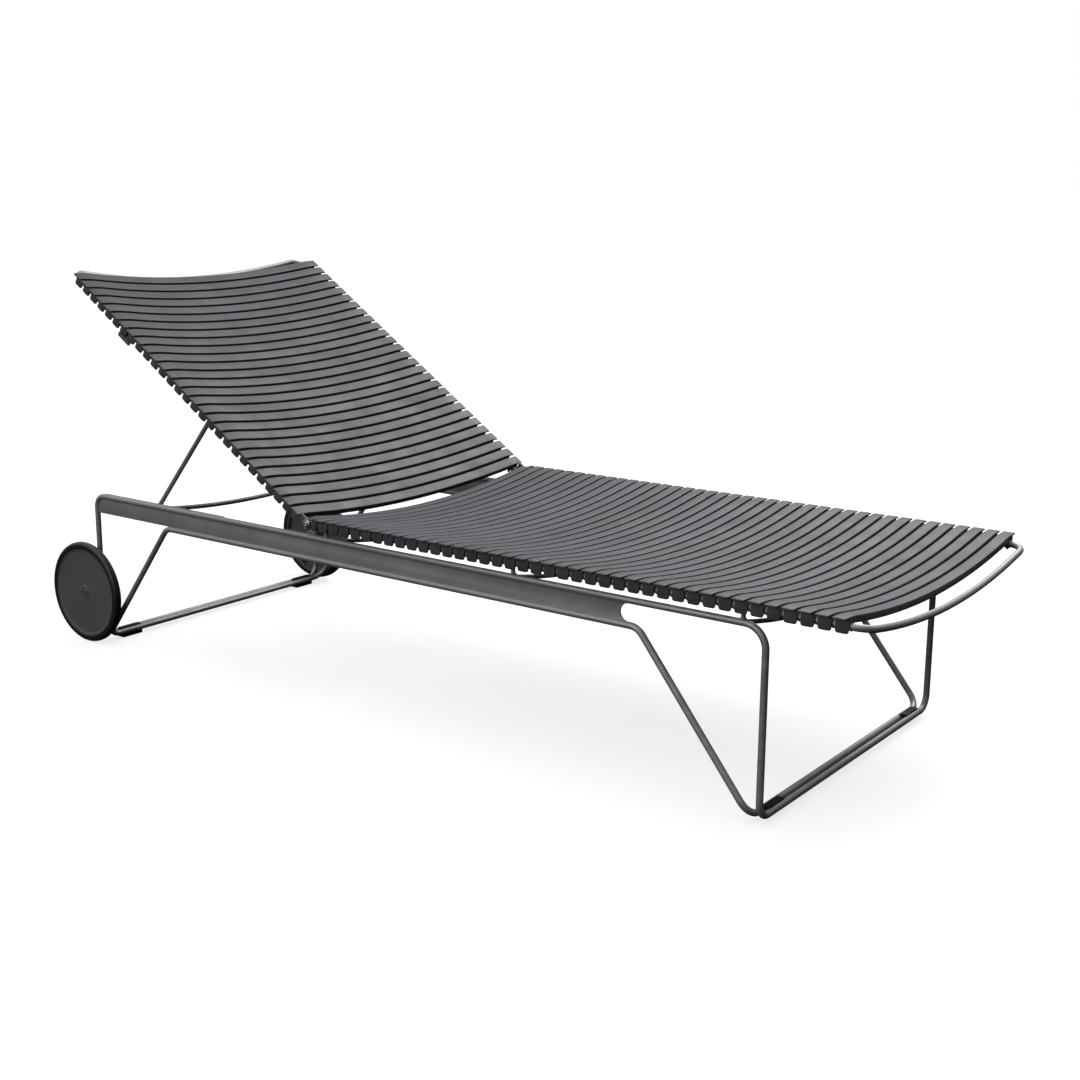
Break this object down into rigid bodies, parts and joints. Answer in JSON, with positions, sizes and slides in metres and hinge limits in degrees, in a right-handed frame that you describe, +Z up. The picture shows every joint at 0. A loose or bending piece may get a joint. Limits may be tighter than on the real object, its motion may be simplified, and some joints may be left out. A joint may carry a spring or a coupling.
{
  "type": "reclining sun lounger",
  "caption": "Garden sun lounger: a bent-rod steel frame with clip-on dished slats, a backrest that reclines on a ratchet prop, and two wheels at the head end.",
  "frame": {"origin": "on the ground, at the middle of the lounger's plan at the rest pose", "axes": "+X towards the foot end, +Y across towards the lounger's left side, +Z up"},
  "size_m": [1.9416, 0.734, 0.8153],
  "materials": {
    "frame_steel": "dark grey powder coat, satin",
    "slat_plastic": "mid grey moulded plastic, fine matt grain",
    "black_plastic": "black moulded plastic",
    "fastener_steel": "bare stainless steel",
    "hub_steel": "black coated steel",
    "wheel_plastic": "dark grey moulded plastic",
    "tyre_rubber": "smooth black rubber"
  },
  "bodies": {
    "base": {"upper_rail_left": "frame_steel", "upper_rail_right": "frame_steel", "lower_rail_left": "frame_steel", "lower_rail_right": "frame_steel", "side_plate_left": "frame_steel", "side_plate_right": "frame_steel", "rack_left": "frame_steel", "rack_right": "frame_steel", "seat_rail_left": "frame_steel", "seat_rail_right": "frame_steel", "foot_legs": "frame_steel", "head_legs": "frame_steel", "foot_struts": "frame_steel", "head_struts": "frame_steel", "foot_floor_bar_outer": "frame_steel", "foot_floor_bar_inner": "frame_steel", "head_floor_bar_outer": "frame_steel", "head_floor_bar_inner": "frame_steel", "seat_bearer_head": "frame_steel", "seat_bearer_middle": "frame_steel", "seat_bearer_foot": "frame_steel", "foot_bow": "frame_steel", "seat_hinge_lugs": "frame_steel", "wheel_brackets": "frame_steel", "axle_spacers": "frame_steel", "seat_slats_1": "slat_plastic", "seat_slats_2": "slat_plastic", "seat_slats_3": "slat_plastic", "seat_slats_4": "slat_plastic", "seat_slats_5": "slat_plastic", "seat_slats_6": "slat_plastic", "seat_slats_7": "slat_plastic", "seat_slats_8": "slat_plastic", "seat_slats_9": "slat_plastic", "seat_slats_10": "slat_plastic", "foot_end_feet": "black_plastic", "head_end_feet": "black_plastic", "hinge_bolts": "fastener_steel", "axle_bolts": "hub_steel"},
    "backrest": {"back_rail_left": "frame_steel", "back_rail_right": "frame_steel", "head_bow": "frame_steel", "back_hinge_lugs": "frame_steel", "stop_blocks": "black_plastic", "prop_brackets": "frame_steel", "prop_pins": "fastener_steel", "back_slats_1": "slat_plastic", "back_slats_2": "slat_plastic", "back_slats_3": "slat_plastic", "back_slats_4": "slat_plastic", "back_slats_5": "slat_plastic", "back_slats_6": "slat_plastic", "back_slats_7": "slat_plastic"},
    "prop": {"prop_leg_left": "frame_steel", "prop_leg_right": "frame_steel", "prop_bar": "frame_steel"},
    "wheel_left": {"wheel_disc_left": "wheel_plastic", "tyre_left": "tyre_rubber"},
    "wheel_right": {"wheel_disc_right": "wheel_plastic", "tyre_right": "tyre_rubber"}
  },
  "joints": [
    {"name": "back_recline", "type": "hinge", "parent": "base", "child": "backrest", "pos_m": [-0.1769, 0, 0.3584], "axis": [0, 1, 0], "range_deg": [-33.8, 11.2]},
    {"name": "prop_swing", "type": "hinge", "parent": "backrest", "child": "prop", "pos_m": [-0.47543, 0, 0.53659], "axis": [0, 1, 0], "range_deg": [-26.5, 79.6]},
    {"name": "wheel_left_spin", "type": "hinge", "parent": "base", "child": "wheel_left", "pos_m": [-0.8583, 0.358, 0.113], "axis": [0, 1, 0], "continuous": true},
    {"name": "wheel_right_spin", "type": "hinge", "parent": "base", "child": "wheel_right", "pos_m": [-0.8583, -0.358, 0.113], "axis": [0, 1, 0], "continuous": true}
  ],
  "couplings": [
    {"joint": "prop_swing", "follows": "back_recline", "ratio": -2.35}
  ]
}
